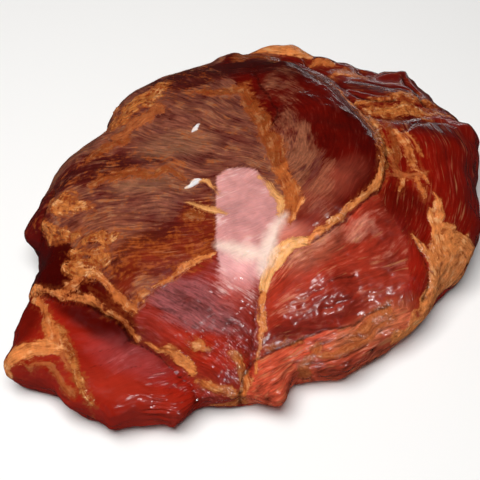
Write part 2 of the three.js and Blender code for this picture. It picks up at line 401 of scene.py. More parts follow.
# %% Strokes of fat that lie on the muscles
ON_MUSCLES = [
    ("lumpy", [(-109, -44, 2.4), (-100, -43, 3), (-94, -46, 3), (-88, -44, 2)]),
    ("lumpy", [(-118, -50, 2), (-110, -51, 4), (-103, -52, 4.6), (-96, -51, 3.4)]),
    ("lumpy", [(-112, -59, 3.2), (-105, -59, 5), (-98, -60, 4.6), (-93, -56, 3)]),
    ("lumpy", [(-119, -61, 1.6), (-113, -64, 3), (-106, -66, 3.4), (-99, -67, 3)]),
    ("tan", [(-123, -72, 1), (-118, -70, 1.8), (-113, -69, 2), (-108, -67, 2)]),
    ("tan", [(-98, -67, 2.4), (-93, -73, 2), (-87, -79, 1.8), (-80, -85, 1.8), (-75, -90, 1.8)]),
    ("lumpy", [(-133, -9, 2), (-127, -13, 4.4), (-119, -17, 4.8), (-111, -20, 2.6), (-104, -22, 1)]),
    ("lumpy", [(-135, -25, 2.6), (-131, -32, 4.4), (-124, -36, 4.6), (-117, -38, 3.6), (-111, -36, 2)]),
    ("tan", [(-141, -70, 1.8), (-136, -77, 2.2), (-131, -85, 2.8), (-127, -95, 3.8), (-123, -104, 4)]),
    ("lumpy", [(-133, -84, 0.6), (-126, -91, 1.4), (-120, -99, 2), (-117, -107, 2.4)]),
    ("thin", [(-126, -96, 1), (-122, -104, 2.4), (-118, -112, 2.4), (-114, -120, 1.6)]),
    ("lumpy", [
        (-117, -107, 2.6), (-113, -115, 2.6), (-110, -123, 2.2), (-106, -132, 2), (-101, -143, 1.4),
    ]),
    ("pale", [(-156, -116, 5), (-148, -112, 6), (-140, -108, 5), (-131, -105, 5), (-122, -106, 4)]),
    ("thin", [
        (-141, -120, 1.2), (-131, -117, 1.8), (-125, -121, 2.4), (-119, -128, 2.6), (-111, -136, 2),
    ]),
    ("tan", [(-16, -113, 2), (-12, -115, 3), (-9, -121, 3.4), (-7, -128, 2.6), (-6, -137, 2)]),
    ("tan", [(-36, -126, 1), (-27, -129, 1.8), (-17, -130, 1.8), (-8, -132, 1.4)]),
    ("tan", [(-40, -110, 1.2), (-35, -109, 2.4), (-30, -111, 1.6)]),
    ("pale", [
        (113, -20, 2), (115, -30, 4), (119, -38, 8), (123, -46, 9), (121, -57, 7.5), (115, -65, 5.5),
    ]),
    ("pale", [(115, -65, 5.5), (109, -73, 4.5), (103, -80, 3.5), (96, -87, 3), (88, -92, 2)]),
    ("pale", [(116, -35, 4), (122, -30, 3.5), (128, -26, 2)]),
    ("pale", [(126, -38, 7), (132, -35, 7), (140, -36, 6), (144, -42, 4)]),
    ("tan", [(141, -44, 4), (137, -54, 5), (130, -64, 5), (120, -76, 4)]),
    ("pale", [(98, -40, 0.8), (105, -44, 1.8), (111, -48, 3.4), (115, -54, 5)]),
    ("tan", [(88, 45, 0.8), (93, 39, 2.2), (98, 30, 2.8), (101, 19, 2.6), (104, 9, 1.8)]),
    ("tan", [(97, 44, 0.7), (103, 35, 1.5), (106, 26, 1.2), (109, 17, 0.5)]),
    ("thin", [(82, 27, 1), (86, 20, 2), (90, 12, 2.2), (92, 3, 1.6)]),
    ("tan", [(104, 9, 1.4), (108, 4, 1.6), (112, -4, 0.7)]),
    ("thin", [(85, -1, 1.2), (94, 4, 2.8), (102, 4, 3.4), (110, 3, 1.6)]),
    ("lumpy", [(93, 3, 1), (99, 3, 2), (105, 4, 1.4)]),
    ("tan", [(96, 2, 1.4), (95, -4, 1.3), (93, -10, 0.5)]),
    ("tan", [(104, 2, 1.8), (106, -6, 1.8), (108, -13, 0.7)]),
    ("pale", [(133, -44, 6), (128, -54, 6)]),
    ("lumpy", [(77, 58, 2.4), (80, 42, 3), (82, 28, 3.6), (84, 18, 5), (84, 8, 3.4), (81, -2, 3)]),
    ("rusty", [(88, 50, 2), (90, 36, 3), (92, 22, 3), (92, 8, 2.4)]),
    ("pale", [(114, -9, 0.6), (117, -15, 2.2), (118, -22, 2.4), (116, -29, 2)]),
    ("thin", [(60, 115, 3), (70, 116, 4), (80, 108, 3)]),
    ("pale", [(2, 136, 4), (14, 135, 6), (27, 137, 8), (37, 138, 7)]),
    ("tan", [(43, 121, 3), (51, 127, 4.5), (57, 125, 3)]),
    ("rusty", [(-11, 119, 4), (-3, 123, 5), (5, 123, 4)]),
    ("lumpy", [(-96, 50, 5), (-89, 60, 7), (-82, 68, 8), (-73, 76, 7), (-65, 86, 4)]),
    ("thin", [(-93, 36, 5), (-84, 42, 6), (-76, 50, 6), (-66, 59, 5)]),
    ("rusty", [(-110, 16, 2), (-102, 23, 3.5), (-94, 29, 4), (-86, 31, 3)]),
    ("rusty", [
        (-107, -4, 1.6), (-94, 0, 2.4), (-81, 4, 2.6), (-68, -2, 2.8), (-56, 1, 2.4), (-47, -4, 1.6),
    ]),
    ("rusty", [(-45, -32, 2), (-39, -31, 3.5), (-33, -32, 2)]),
    ("gold", [(-42, -22, 1.4), (-34, -25, 2.6), (-27, -27, 2.6), (-20, -30, 1.2)]),
    ("gold", [(-41, -6, 1), (-32, -8, 1.6), (-24, -13, 1)]),
    ("gold", [(2, -4, 1.2), (9, -12, 2.4), (14, -22, 2.8), (15, -32, 1.6)]),
    ("pale", [(22, -39, 0.8), (27, -31, 1.4), (30, -24, 0.9)]),
    ("thin", [(40, -103, 2), (36, -109, 3.4), (32, -116, 3), (28, -124, 2)]),
    ("thin", [(84, -76, 2), (78, -82, 3), (70, -89, 3), (60, -96, 2)]),
    ("thin", [(6, -108, 1), (15, -104, 1.8), (27, -101, 1.4)]),
    ("thin", [(39, -111, 1.4), (55, -105, 2.2), (71, -94, 2), (86, -83, 1.6)]),
    ("white", [(-42, 35, 0.4), (-39, 38, 1.6), (-37, 41, 0.8)]),
    ("white", [(-46, -11, 0.4), (-42, -9, 1.4), (-39, -7, 2.6), (-37, -6, 1.6)]),
]
FAR_OUTSIDE = -40.0
fat_depth = np.full(count, FAR_OUTSIDE)
fat_edge = np.ones(count)
fat_cover = np.zeros(count)
lumps = np.zeros(count)
fat_tone = np.tile(linear(FATS["tan"][0]), (count, 1))
SWING_SIZE, SWING, LUMPY_SWING = 9, 0.3, 0.7
NARROWEST, WIDEST = 0.4, 1.8
unevenness = noise_at(points + 6 * apart, SWING_SIZE, 2)
for kind, bends in ALONG_SEAMS + ON_MUSCLES:
    tone, lumpiness, cover, edge = FATS[kind]
    distance, half, along = nearest_on(smooth_path(bends), drawn)
    swing = (SWING + LUMPY_SWING * lumpiness) * unevenness
    depth = half * np.clip(1 + swing, NARROWEST, WIDEST) - np.abs(distance)
    deeper = depth > fat_depth
    ruled_by[deeper & (depth > -0.5)] = len(rules)
    rules.append((along, distance))
    fat_depth[deeper] = depth[deeper]
    fat_edge[deeper] = edge
    fat_cover[deeper] = cover
    lumps[deeper] = lumpiness
    fat_tone[deeper] = linear(tone)
print("corners under fat:", int((fat_depth > 0).sum()))

# %% [markdown]
# Fat has a grain as well, drawn out along its seam. So each stroke has added a rule of its own above:
# how far along the stroke a place is, and how far from its middle.
# %% Grain at any corner
rules = np.array(rules).transpose(0, 2, 1)
WAVER = (22, 3.0)
SKIP = 300
waver = WAVER[1] * noise_at(points + 2 * apart, WAVER[0])


def grain_at(corners, rule):
    along, across = rules[rule, corners].T
    return np.column_stack([along + SKIP * rule, across + waver[corners], height[corners]])


grain = grain_at(np.arange(count), ruled_by)


def fibres(long, thick, layers=2):
    return noise_at(grain / (long, thick, 3 * thick), 1, layers)


print("rules of grain:", len(rules))

# %% [markdown]
# ## The pink patch and the sinew
#
# A patch in the middle was covered while the ham smoked, or has been trimmed since, and shows the
# pink that all of the meat has inside. It is palest in the middle, where a white sinew crosses it,
# and fades into red at its front end. White sinew also runs up its right side. A depth divided by
# the width of its edge runs from -1 to 1 across that edge, so one number gives place and softness.
# %% The patch, whose tones follow each other from the back to the front
PINKS = {"back": "#c68883", "middle": "#c38480", "front": "#dd9e9b", "faded": "#a8443a"}
FADES = {"middle": (10, 40), "front": (52, 60), "faded": (66, 86)}
SHARP_EDGE, EXTRA_EDGE, EDGE_WIDENS = 1.2, 6.0, (60, 84)
EDGE_WAVER = 0.5
way_front = -plan[:, 1]
pink_tone = linear(PINKS["back"])
for name, fade in FADES.items():
    amount = step(*fade, way_front)[:, None]
    pink_tone = pink_tone * (1 - amount) + linear(PINKS[name]) * amount
pink_edge = SHARP_EDGE + EXTRA_EDGE * step(*EDGE_WIDENS, way_front)
pink_depth = ring_depth(plan + EDGE_WAVER * warp, PINK_RING)
print("widest edge of the patch, mm:", pink_edge.max())

# %% The sinew
SINEWS = [
    [(2, -69, 1.6), (5, -59, 4.2), (8, -51, 4.6), (13, -41, 3.4), (19, -32, 1.4)],
    [(-21, -54, 2.4), (-14, -56, 4), (-4, -58, 4.6), (4, -58, 4)],
]
SINEW_EDGE = 3.6
sinew_depth = np.max([stroke_depth(drawn, bends) for bends in SINEWS], axis=0)
print("corners under sinew:", int((sinew_depth > 0).sum()))

# %% [markdown]
# ## The marks of drying
#
# Washes are broad soft ovals of tone, laid as a painter lays in large areas before the detail.
# They lay in the meat's own tone and redden wet places. Some are painted shade, in hollows, under
# the overhang of a seam and in a shadow band, and one is a painted sheen. The same ovals gather film,
# mottling and wetness, or thin them out.


# %% Ovals that fade out at their edge, between these shares of their reach
OVAL_FADE = (1.3, 0.4)


def oval(middle, reach, degrees):
    ahead, aside = turned(drawn, middle, degrees)
    return step(*OVAL_FADE, np.hypot(ahead / reach[0], aside / reach[1]))


WASHES_AND_SHADE = [
    ("#3c0f0c", (-108, 8), (30, 9), 12, 0.7), ("#481a18", (-60, 13), (40, 8), -4, 0.7),
    ("#4a1a14", (-124, 30), (20, 10), 50, 0.6), ("#401410", (-40, 96), (36, 14), 14, 0.75),
    ("#3c100c", (-12, 104), (28, 11), 2, 0.75), ("#b88862", (-52, 24), (28, 12), 5, 0.3),
    ("#b88a60", (-70, -6), (24, 9), 5, 0.3), ("#7e3614", (-92, -42), (34, 20), -20, 0.4),
    ("#80260c", (-60, -66), (44, 16), 28, 0.6), ("#7c2410", (-34, -42), (16, 24), 0, 0.6),
    ("#380301", (-124, -58), (22, 15), 30, 0.8), ("#460602", (-98, -76), (24, 7), -30, 0.6),
    ("#3a0805", (20, 98), (36, 15), -14, 0.8), ("#420402", (68, 34), (12, 44), 8, 0.7),
    # Painted shadow: #4a0a06 at (38, 38) is a narrow shadow band across the far round.
    ("#4a0a06", (38, 38), (30, 5), -14, 0.6), ("#94402e", (44, -16), (30, 13), 36, 0.7),
    ("#320806", (84, 92), (34, 8), -18, 0.6), ("#380301", (112, 52), (34, 14), -12, 0.7),
    ("#440802", (92, -18), (22, 14), 20, 0.6), ("#a05840", (36, -56), (24, 11), 34, 0.6),
    ("#681812", (86, -44), (14, 20), 0, 0.5), ("#84180e", (36, -90), (40, 9), 26, 0.5),
    # Painted shade: #7a1a10 at (44, -76) is a narrow dark band along a wrinkle.
    ("#7a1a10", (44, -76), (26, 5), 30, 0.5), ("#c07850", (70, -92), (34, 9), 30, 0.6),
    ("#6a1412", (10, -103), (16, 4), 20, 0.7), ("#6e2022", (-34, -80), (36, 8), -28, 0.4),
    ("#c86e5a", (22, -47), (13, 7), 30, 0.85), ("#c87a6c", (17, -38), (9, 9), 0, 0.8),
    # Painted shade, partly the lobe's own dark red: #3c0402 at (-98, -90) darkens the shank lobe under the
    # overhang of its seam.
    ("#3c0402", (-98, -90), (34, 6), -26, 0.8), ("#8e3426", (40, -38), (18, 8), 35, 0.6),
    # Painted shade: #64180e at (62, -108) darkens the underside of the lower roll along its rim.
    ("#a62410", (-28, -112), (26, 11), -16, 0.8), ("#64180e", (62, -108), (42, 4), 32, 0.4),
    # Painted shade: #5a0a08 at (-26, -95) is a narrow dark band along a crease.
    ("#5c0c08", (-146, -14), (11, 20), 0, 0.9), ("#5a0a08", (-26, -95), (24, 2.5), -18, 0.7),
    # Painted shade, partly the lobe's own dark red: #4a0502 at (-92, -95) darkens the shank lobe under the
    # overhang of its seam.
    ("#4a0602", (-146, -86), (12, 24), -10, 0.7), ("#4a0502", (-92, -95), (46, 8), -30, 0.85),
    # Painted sheen: #9c3c3a at (-78, -114) stands for a soft reflection in the middle of the shank lobe.
    ("#9c3c3a", (-78, -114), (28, 12), -22, 0.6), ("#a02c1c", (-80, -136), (44, 14), -20, 0.6),
]
ON_FILM = 0.35
# Each wash, meat tone, painted shade and painted sheen alike, is laid into the meat and a little into the
# film.
for colour, middle, reach, degrees, share in WASHES_AND_SHADE:
    amount = share * oval(middle, reach, degrees)[:, None]
    meat = meat * (1 - amount) + linear(colour) * amount
    film_tone = film_tone * (1 - ON_FILM * amount) + linear(colour) * ON_FILM * amount
print("washes laid:", len(WASHES_AND_SHADE))

# %% Film, mottling and wetness where they gather or thin out
GATHERED = [
    (film, (29, 6), (20, 50), 15, 0.72), (film, (20, 76), (19, 26), 10, 0.42),
    # Film is thinned at (48, 37) so that the painted shadow band stays dark.
    (film, (48, 37), (24, 5), -14, -0.25), (film, (17, -40), (12, 10), 0, -0.9),
    (film, (60, -42), (30, 9), 24, 0.28), (film, (30, -54), (18, 6), 34, 0.25),
    (film, (-54, 13), (36, 7), -4, -0.25), (film, (-108, 8), (34, 14), 12, -0.5),
    (film, (-40, 96), (36, 14), 14, -0.7), (film, (-56, -56), (46, 20), 24, -0.8),
    (film, (-36, -40), (14, 24), 0, -0.45), (film, (0, 136), (40, 18), 0, 0.5),
    (film, (-146, -14), (12, 22), 0, -1.4), (film, (-42, -87), (38, 15), -28, 0.65),
    (mottle, (-94, -78), (16, 7), -30, -0.6), (film, (-94, -78), (16, 7), -30, -0.6),
    # The film gathered at (-78, -114), in the lobe's pinkish film tone, is part of the painted sheen on
    # the shank lobe.
    (film, (-28, -112), (26, 11), -16, -0.5), (film, (-78, -114), (26, 12), -22, 0.35),
    (mottle, (-88, -56), (36, 26), -20, 0.35), (mottle, (-50, -56), (30, 16), 20, 0.45),
    (mottle, (-70, 66), (40, 20), 30, 0.3), (mottle, (-70, 0), (50, 8), 0, 0.25),
    (mottle, (-58, 16), (40, 20), 5, 0.14), (mottle, (-36, -42), (16, 26), 0, 0.25),
    (wet, (-52, -128), (28, 14), -25, 0.8), (wet, (-20, -112), (28, 14), 0, 0.6),
    (wet, (42, -97), (46, 8), 28, 0.5), (wet, (64, -50), (26, 14), 30, -0.2),
    (wet, (96, 96), (34, 14), -16, -0.2),
]
for look, middle, reach, degrees, share in GATHERED:
    look += share * oval(middle, reach, degrees)
# The material adds noise to these shares, so bare meat is pushed well below nought to stay bare.
NEARLY_BARE = 0.08
for look, push_down in ((film, 0.6), (mottle, 1.5), (threads, 2.0)):
    look -= push_down * step(NEARLY_BARE, 0.0, look)
print("largest film, mottle, wet:", *(look.max().round(2) for look in (film, mottle, wet)))

# %% [markdown]
# ## Relief
#
# The seams pull in beside their fat as the meat dries, so a narrow crease runs along one side of
# each. Knobs of fat stand out of the far rim, and flaps fold over at the ends. Fat stands a little
# proud with a lumpy surface, fibres stand as fine ridges, and drying wrinkles the skin. All of it
# moves the corners along their own normals, by millimetres. Only at the small bays and noses of the
# outline is the rim slid sideways, to or from the middle of the ham.
# %% Knobs and dents, as place, reach and rise
KNOBS = [
    ((-18, 126), (11, 8), 2.2), ((14, 136), (10, 7), 1.0), ((30, 138), (9, 8), 1.8),
    ((50, 128), (7, 6), 1.8), ((41, 125), (5, 5), -3.0), ((66, 126), (9, 6), 2.0),
    ((79, 121), (4, 6), -2.5), ((96, 113), (10, 7), 2.0), ((-89, 62), (12, 14), 1.5),
    ((13, -133), (4, 5), 2.2),
]
relief = np.zeros(count)
for middle, reach, rise in KNOBS:
    relief += rise * oval(middle, reach, 0)
print("knobs rise, mm:", relief.min().round(1), relief.max().round(1))

# %% Bays and noses of the rim, as place, reach, how far it is slid in and up to what height
BAYS = [
    ((-153, -32), (12, 8), 4.0, FAR), ((-152, -14), (14, 15), 6.5, 26),
    ((-142, -130), (22, 12), 4.5, FAR), ((-101, -147), (12, 8), 3.0, FAR),
    ((-68, -150), (18, 12), 6.0, FAR), ((40, -118), (17, 9), 2.6, FAR), ((23, -123), (8, 8), 3.6, FAR),
    ((134, -62), (16, 18), 6.0, FAR), ((138, 92), (12, 10), 5.0, FAR), ((149, 62), (8, 10), -5.0, FAR),
    ((-157, -98), (8, 10), 2.5, FAR), ((96, 112), (11, 9), -4.5, FAR), ((108, 110), (9, 9), -2.5, FAR),
    ((86, 120), (6, 6), 3.0, FAR), ((-96, 72), (9, 9), -3.0, FAR),
]
FADE_OVER, FADE_UNDER = 12, 8
slide = np.zeros((count, 2))
for middle, reach, inward, ceiling in BAYS:
    inside = -np.array(middle) / math.hypot(*middle)
    below = step(ceiling + FADE_OVER, ceiling - FADE_UNDER, height)
    amount = inward * oval(middle, reach, 0) * below
    slide += amount[:, None] * inside
print("slid by up to, mm:", np.abs(slide).max().round(1))

# %% Creases, as path, offset to the left, depth and half width
CREASES = [
    (SEAMS["shank"], -2.8, 2.0, 1.1),
    (SEAMS["arc"], -3.4, 1.3, 1.2),
    (SEAMS["crease"], 0.0, 1.3, 1.4),
    (SEAMS["notch"], 0.0, 2.0, 1.5),
    (SEAMS["central"][:3], 3.4, 0.8, 1.2),
    (SEAMS["back"], 1.5, 0.8, 1.5),
    ([(102, -44), (108, -52), (110, -62), (106, -72)], 0.0, 1.2, 1.5),
    ([(-152, -70), (-140, -70), (-128, -75)], 0.0, 1.0, 1.5),
    ([(0, 96), (5, 76), (11, 61), (14, 47), (11, 38)], 0.0, 1.2, 2.0),
    ([(103, 108), (107, 102), (113, 92), (117, 80), (122, 75)], 0.0, 1.8, 1.8),
    ([(60, 100), (70, 82), (84, 75), (97, 76)], 0.0, 1.6, 1.6),
    ([(95, 41), (103, 46), (110, 53), (122, 59), (136, 57)], 0.0, 1.2, 1.5),
    ([(-135, 2), (-136, -12), (-138, -21), (-141, -27), (-147, -32), (-156, -35)], 0.0, 2.2, 1.4),
    ([(-46, -86), (-34, -92), (-24, -96), (-12, -100), (-3, -103)], 0.0, 0.9, 1.0),
    ([(-64, -79), (-50, -86), (-38, -93)], 0.0, 0.8, 1.0),
]
print("creases:", len(CREASES))

# %% Wrinkles, which are all as deep and as wide as each other
WRINKLES = [
    [(-72, -88), (-58, -90), (-47, -96), (-36, -101), (-26, -103)],
    [(-60, -84), (-48, -89), (-36, -96)], [(-71, -82), (-56, -90), (-40, -98), (-31, -102)],
    [(-56, -79), (-41, -86), (-25, -92), (-10, -97)], [(-64, -92), (-49, -99), (-34, -106)],
    [(-46, -74), (-32, -80), (-18, -84)], [(-104, -112), (-94, -107), (-84, -104), (-76, -100)],
    [(-100, -120), (-88, -114), (-76, -111)], [(-92, -126), (-80, -121), (-70, -118)],
    [(60, 98), (72, 88), (84, 82), (96, 80)], [(70, 106), (84, 98), (98, 92), (112, 88)],
    [(97, 41), (105, 45), (115, 56), (127, 60), (141, 63)],
    [(20, -112), (34, -106), (50, -100), (66, -94)], [(24, -120), (40, -114), (56, -108), (70, -100)],
    [(30, -124), (44, -118), (60, -112), (74, -104)], [(46, -106), (60, -99), (74, -91), (84, -84)],
    [(40, -88), (52, -83), (64, -74)], [(30, -84), (46, -76), (60, -66)],
]
WRINKLE_DEPTH, WRINKLE_HALF = 0.8, 1.1
wrinkles = [(bends, 0.0, WRINKLE_DEPTH, WRINKLE_HALF) for bends in WRINKLES]
print("wrinkles:", len(wrinkles))

# %% Wet folds: short low ridges that catch the light, so creases turned upwards
FOLDS = [
    [(-71, -121), (-63, -123), (-56, -122)], [(-72, -126), (-64, -128), (-55, -127)],
    [(-71, -131), (-63, -134), (-55, -133)], [(-53, -120), (-46, -123), (-40, -127)],
    [(-52, -126), (-45, -129), (-38, -132)], [(-25, -104), (-17, -108), (-9, -111)],
    [(-26, -109), (-18, -113), (-11, -117)], [(-24, -115), (-18, -118), (-12, -122)],
]
FOLD_RISE, FOLD_HALF = 0.8, 2.0
folds = [(bends, 0.0, -FOLD_RISE, FOLD_HALF) for bends in FOLDS]
print("wet folds:", len(folds))

# %% Press them all in. The gap left to a crease sets the painted shade in it later, a shallow one less.
NO_CREASE, SHALLOW = 9.0, 0.5
crease_shade_gap = np.full(count, NO_CREASE)
for bends, offset, depth, half in CREASES + wrinkles + folds:
    signed, _, _ = nearest_on(smooth_path(bends), drawn)
    gap = np.abs(signed - offset) / half
    relief -= depth * np.exp(-(gap**2))
    if depth > 0:
        crease_shade_gap = np.minimum(crease_shade_gap, gap + SHALLOW / depth)
print("relief so far, mm:", relief.min().round(2), relief.max().round(2))

# %% Fat, fibres, lumps and a ragged rim, as wave lengths and rises in mm
FAT_RISE, FAT_LUMP_RISE = 0.5, 1.0
BUNDLE, BUNDLE_RISE = (24, 4.5), 0.7
FIBRE, FIBRE_RISE = (10, 2.6), 0.5
COARSE_LUMP, COARSE_RISE = 14, 0.7
FINE_LUMP, FINE_RISE = 4.5, 0.3
RAGGED, RAGGED_RISE = 20, 1.6
top = step(-0.5, 0.1, normals[:, 2])
rim = step(0.75, 0.2, np.abs(normals[:, 2]))
on_fat = step(-1.0, 1.0, fat_depth / fat_edge) * fat_cover
coarse_lumps = noise_at(points + 3 * apart, COARSE_LUMP, 2)
fine_lumps = noise_at(points + 4 * apart, FINE_LUMP, 2)
relief = relief * top
relief += top * on_fat * (FAT_RISE + FAT_LUMP_RISE * lumps * fine_lumps)
relief += (1 - on_fat) * ridges * (BUNDLE_RISE * fibres(*BUNDLE) + FIBRE_RISE * fibres(*FIBRE))
relief += COARSE_RISE * coarse_lumps + FINE_RISE * mottle * fine_lumps
relief += rim * RAGGED_RISE * noise_at(points + 5 * apart, RAGGED, 2)
print("relief from", relief.min().round(2), "to", relief.max().round(2), "mm")

# %% Move the corners. The belly only gets shallow dents, so it still lies flat.
BELLY_HEIGHT, BELLY_DENT = 1, 0.8
points += normals * relief[:, None]
points[:, :2] += slide
dents = np.abs(relief) * BELLY_DENT * (1 - rim)
points[:, 2] = np.where(height < BELLY_HEIGHT, dents, np.maximum(points[:, 2], 0))
mesh.vertices.foreach_set("co", (points * MM).astype(np.float32).ravel())
mesh.update()
print("highest point, mm:", points[:, 2].max().round(1))

# %% [markdown]
# ## Handing the fields to the material
#
# Everything drawn above is kept on the corners as attributes. Depths are stored divided by the
# width of their edge and run smoothly across it. So the shader can add finer noise before it cuts,
# and a seam of fat ends more sharply than the mesh could draw it. The strokes are drawn from above,
# so the belly under them is set well outside of each.

# %% Store the attributes, one number, three or four at each corner
KINDS = {(): ("FLOAT", "value"), (3,): ("FLOAT_VECTOR", "vector"), (4,): ("FLOAT_COLOR", "color")}


def store(name, values, domain="POINT"):
    kind, field = KINDS[values.shape[1:]]
    attribute = mesh.attributes.new(name, kind, domain)
    attribute.data.foreach_set(field, values.astype(np.float32).ravel())


WELL_OUTSIDE, WETTEST = -9, 1.2
upper = top > 0.5
numbers = {
    "fat_in": np.where(upper, fat_depth / fat_edge, WELL_OUTSIDE),
    "fat_gap": np.where(upper, fat_depth, FAR_OUTSIDE),
    "pink_in": np.where(upper, pink_depth / pink_edge, WELL_OUTSIDE),
    "sinew_in": np.where(upper, sinew_depth / SINEW_EDGE, WELL_OUTSIDE),
    "fat_cover": fat_cover, "lumps": lumps, "film": film, "mottle": mottle, "threads": threads,
    "wet": np.clip(wet, 0, WETTEST), "crease_shade_gap": crease_shade_gap, "ridges": ridges,
}
tones = {"meat": meat, "film_tone": film_tone, "fat_tone": fat_tone, "pink_tone": pink_tone}
for name, values in numbers.items():
    store(name, values)
for name, values in tones.items():
    store(name, np.column_stack([values, np.ones(count)]))
print("attributes:", len(mesh.attributes))

# %% [markdown]
# The grain is the one field that jumps, since each muscle has a rule of its own. On a triangle with
# corners in two muscles it would run through hundreds of millimetres and draw a black line. So it is
# kept on each triangle's own corners, and a triangle takes the rule of its first corner alone.
# %% Store the grain by triangle
corner_of = np.empty(len(mesh.loops), np.int32)
mesh.loops.foreach_get("vertex_index", corner_of)
rule_of = np.repeat(ruled_by[corner_of[::3]], 3)
store("grain", grain_at(corner_of, rule_of), "CORNER")
print("triangles with a grain:", len(corner_of) // 3)

# %% [markdown]
# ## The material
#
# Smoked meat is a wet, slightly clear solid: light goes a few millimetres into it and comes out
# red, and the film of brine and fat on it makes small sharp glints. One Principled shader does
# this, with a little subsurface scattering. Its colour is laid on in layers: meat, brown film, rust,
# the pink patch, threads and seams of fat, sinew, and painted shade in the creases. Each layer is a
# colour and a share. Noise of a real size is added to the share, and a MapRange cuts it: of its four
# numbers, the first two are the readings between which it fades, and the last two the shares it
# gives there.
# %% A function that adds a node
# Cured and smoked pork looks dark and red in its depth, under a moist film that glints.
smoked_meat = bpy.data.materials.new("cured_smoked_pork")
smoked_meat.use_nodes = True
tree = smoked_meat.node_tree
tree.nodes.clear()


def add(kind, *values, output=0, sockets=None, **settings):
    """Adds a node with its settings, fills its sockets in order or by name, and returns an output."""
    made = tree.nodes.new("ShaderNode" + kind)
    for name, value in settings.items():
        setattr(made, name, value)
    open_sockets = [socket for socket in made.inputs if socket.enabled]
    filled = list(zip(open_sockets, values))
    filled += [(made.inputs[name], value) for name, value in (sockets or {}).items()]
    for socket, value in filled:
        if isinstance(value, bpy.types.NodeSocket):
            tree.links.new(value, socket)
        else:
            socket.default_value = value
    shown = [socket for socket in made.outputs if socket.enabled]
    return shown[output] if shown else made


TIMES = {"operation": "MULTIPLY"}
TIMES_PLUS = {"operation": "MULTIPLY_ADD"}
SCALED = {"operation": "SCALE"}
SOFT = {"interpolation_type": "SMOOTHSTEP"}
RGB = {"data_type": "RGBA"}
NUMBER, VECTOR = 2, 1
kept = {name: add("Attribute", output=NUMBER, attribute_name=name) for name in numbers}
kept |= {name: add("Attribute", attribute_name=name) for name in tones}
grain_place = add("Attribute", output=VECTOR, attribute_name="grain")
print("attributes read:", len(kept))

# %% Noise along the grain (length, thickness, detail) and in the round (size, detail)
ALONG_GRAIN = {
    "hairs": (7, 0.8, 3), "strands": (9, 1.2, 4), "bundles": (18, 2.2, 5),
    "threads": (18, 1.3, 4), "ribbons": (18, 3.4, 4), "patches": (30, 9, 4),
    "swells": (12, 1.8, 1),
}
IN_THE_ROUND = {
    "grit": (1.3, 3), "grains": (2.4, 4), "dimples": (3.6, 1),
    "lobules": (4.5, 2), "drops": (6.5, 3), "spots": (10, 4), "clouds": (18, 4),
}
OBJECT = 3
place = add("TexCoord", output=OBJECT)
NOISE_MIDDLE = 0.5
noises = {}
for name, (long, thick, detail) in ALONG_GRAIN.items():
    stretch = (1 / long, 1 / thick, 1 / (3 * thick))
    sized = add("VectorMath", grain_place, stretch, **TIMES)
    wave = add("TexNoise", sized, 1, detail)
    noises[name] = add("Math", wave, NOISE_MIDDLE, operation="SUBTRACT")
for name, (size, detail) in IN_THE_ROUND.items():
    wave = add("TexNoise", place, 1 / (size * MM), detail)
    noises[name] = add("Math", wave, NOISE_MIDDLE, operation="SUBTRACT")


def mixed(start=0.0, **parts):
    """Adds the named noises to a start, each about nought and times its share."""
    for name, share in parts.items():
        start = add("Math", noises[name], share, start, **TIMES_PLUS)
    return start


print("noises:", ", ".join(noises))

# %% Meat, darker and lighter along its grain
STREAK_GAIN = 4.5
streaks = mixed(bundles=1.0, strands=0.8, hairs=0.4, patches=0.5)
streak_gain = add("Math", kept["ridges"], STREAK_GAIN, **TIMES)
meat_light = mixed(add("Math", streaks, streak_gain, 1.0, **TIMES_PLUS), clouds=0.9)
colour = add("VectorMath", kept["meat"], meat_light, **SCALED)
pale_streak = add("MapRange", streaks, 0.08, 0.36, 0, 1, **SOFT)
pale_reach = add("MapRange", kept["ridges"], 0.14, 0.46, 0, 0.75)
pale_share = add("Math", pale_streak, pale_reach, **TIMES)
colour = add("Mix", pale_share, colour, shade("#c48066"), **RGB)
print("meat: streaks of", ALONG_GRAIN["bundles"][:2], "mm")

# %% [markdown]
# Smoke leaves a brown film where thin silverskin covers the meat. The skin is milky where it is
# thick and purple where it is thin, so two more tones are drawn into the film. Beside the fat the
# smoke has browned more, in rusty spots.
# %% Brown film, milky in places
film_noise = mixed(kept["film"], patches=1.0, spots=0.7, bundles=0.6, strands=0.5)
film_here = add("MapRange", film_noise, 0.2, 0.85, 0, 0.85, **SOFT)
film_light = mixed(1.0, patches=0.6, strands=1.5, hairs=1.4, grit=0.8)
film_colour = add("VectorMath", kept["film_tone"], film_light, **SCALED)
milky = add("MapRange", mixed(spots=1.0, ribbons=1.0, strands=0.8), 0.04, 0.3, 0, 0.7, **SOFT)
milkier = add("Math", kept["mottle"], 2.4, 0.2, **TIMES_PLUS, use_clamp=True)
milky = add("Math", milky, milkier, **TIMES)
purple = add("MapRange", mixed(patches=1.0, ribbons=1.0, strands=0.8), -0.02, -0.3, 0, 0.8, **SOFT)
for share, tone in ((milky, "#b88a64"), (purple, "#5e2e2c")):
    film_colour = add("Mix", share, film_colour, shade(tone), **RGB)
colour = add("Mix", film_here, colour, film_colour, **RGB)
print("film: patches of", ALONG_GRAIN["patches"][:2], "mm")

